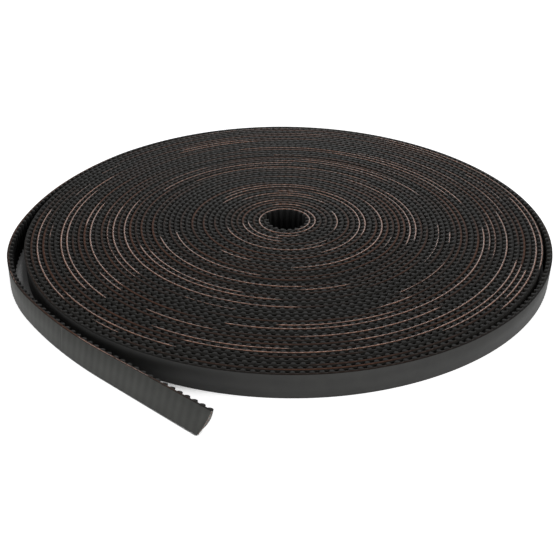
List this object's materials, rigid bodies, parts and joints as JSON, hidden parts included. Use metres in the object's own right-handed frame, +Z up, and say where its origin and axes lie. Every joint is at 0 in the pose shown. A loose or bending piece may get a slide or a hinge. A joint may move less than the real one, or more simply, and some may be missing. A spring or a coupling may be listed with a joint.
{
  "type": "timing belt",
  "caption": "Open-ended toothed timing belt wound on edge into a flat spiral coil, teeth inwards, with a free tail and bare glass cords along its slit edge.",
  "frame": {"origin": "axis of the coil's eye, at the face the coil rests on", "axes": "+Z up, across the belt's width; the belt winds outwards anticlockwise seen from above, and its tail lies along the -X side and ends towards -Y"},
  "size_m": [0.1377, 0.1468, 0.006],
  "materials": {
    "belt_rubber": "matt black moulded rubber, fine grain, lighter where slit",
    "glass_cord": "copper-coloured twisted glass-fibre cord"
  },
  "bodies": {
    "coil": {"eye_turn": "belt_rubber", "wound_turns_1": "belt_rubber", "wound_turns_2": "belt_rubber", "wound_turns_3": "belt_rubber", "wound_turns_4": "belt_rubber", "wound_turns_5": "belt_rubber", "wound_turns_6": "belt_rubber", "wound_turns_7": "belt_rubber", "wound_turns_8": "belt_rubber", "outer_turn": "belt_rubber", "bare_cord_1": "glass_cord", "bare_cord_2": "glass_cord", "bare_cord_3": "glass_cord", "bare_cord_4": "glass_cord", "bare_cord_5": "glass_cord", "bare_cord_6": "glass_cord", "bare_cord_7": "glass_cord", "bare_cord_8": "glass_cord", "bare_cord_9": "glass_cord"},
    "tail_1": {"tail_1": "belt_rubber"},
    "tail_2": {"tail_2": "belt_rubber"},
    "tail_3": {"tail_3": "belt_rubber", "tail_bare_cord": "glass_cord"},
    "tail_4": {"tail_4": "belt_rubber", "tensile_cord_1": "glass_cord", "tensile_cord_2": "glass_cord", "tensile_cord_3": "glass_cord", "tensile_cord_4": "glass_cord", "tensile_cord_5": "glass_cord", "tensile_cord_6": "glass_cord", "tensile_cord_7": "glass_cord"}
  },
  "joints": [
    {"name": "tail_1_bend", "type": "hinge", "parent": "coil", "child": "tail_1", "pos_m": [-0.05716, 0.03235, 0.003], "axis": [0, 0, -1], "range_deg": [0, 40], "stiffness_Nm_per_rad": 0.002},
    {"name": "tail_2_bend", "type": "hinge", "parent": "tail_1", "child": "tail_2", "pos_m": [-0.06917, -0.00334, 0.003], "axis": [0, 0, -1], "range_deg": [0, 40], "stiffness_Nm_per_rad": 0.002},
    {"name": "tail_3_bend", "type": "hinge", "parent": "tail_2", "child": "tail_3", "pos_m": [-0.05909, -0.03911, 0.003], "axis": [0, 0, -1], "range_deg": [-2, 40], "stiffness_Nm_per_rad": 0.002},
    {"name": "tail_4_bend", "type": "hinge", "parent": "tail_3", "child": "tail_4", "pos_m": [-0.03839, -0.06072, 0.003], "axis": [0, 0, -1], "range_deg": [-12, 40], "stiffness_Nm_per_rad": 0.002}
  ]
}
